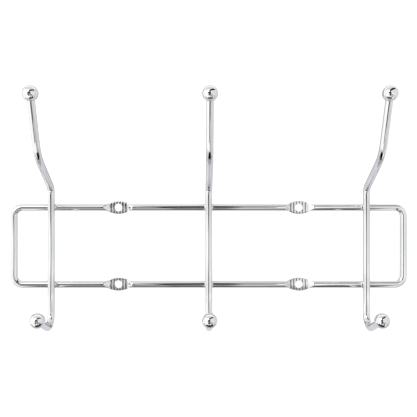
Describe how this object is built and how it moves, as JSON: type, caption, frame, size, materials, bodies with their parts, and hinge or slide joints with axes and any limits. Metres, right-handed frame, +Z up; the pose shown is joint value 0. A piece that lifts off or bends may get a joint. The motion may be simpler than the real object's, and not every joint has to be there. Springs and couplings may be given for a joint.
{
  "type": "wall hook rack",
  "caption": "Chromed wire wall rack: a rounded rectangular frame with pressed screw tabs carries welded double hooks, each wire end tipped with a ball.",
  "frame": {"origin": "on the wall plane, in the middle of the four screw holes", "axes": "+X along the rack to the viewer's right, +Y into the wall, +Z up; the hooks stand out towards -Y"},
  "size_m": [0.35, 0.0788, 0.1987],
  "materials": {
    "chrome_wire": "bright nickel-chrome plate on drawn steel wire",
    "chrome_ball": "bright nickel-chrome plate on a polished steel ball",
    "weld_metal": "resistance weld under the same plating, slightly rougher"
  },
  "bodies": {
    "root": {"frame_left": "chrome_wire", "frame_right": "chrome_wire", "butt_weld_top": "weld_metal", "butt_weld_bottom": "weld_metal", "hook_left": "chrome_wire", "hook_centre": "chrome_wire", "hook_right": "chrome_wire", "ball_upper_left": "chrome_ball", "ball_upper_centre": "chrome_ball", "ball_upper_right": "chrome_ball", "ball_lower_left": "chrome_ball", "ball_lower_centre": "chrome_ball", "ball_lower_right": "chrome_ball", "cross_weld_left_top": "weld_metal", "cross_weld_left_bottom": "weld_metal", "cross_weld_centre_top": "weld_metal", "cross_weld_centre_bottom": "weld_metal", "cross_weld_right_top": "weld_metal", "cross_weld_right_bottom": "weld_metal"}
  },
  "joints": []
}
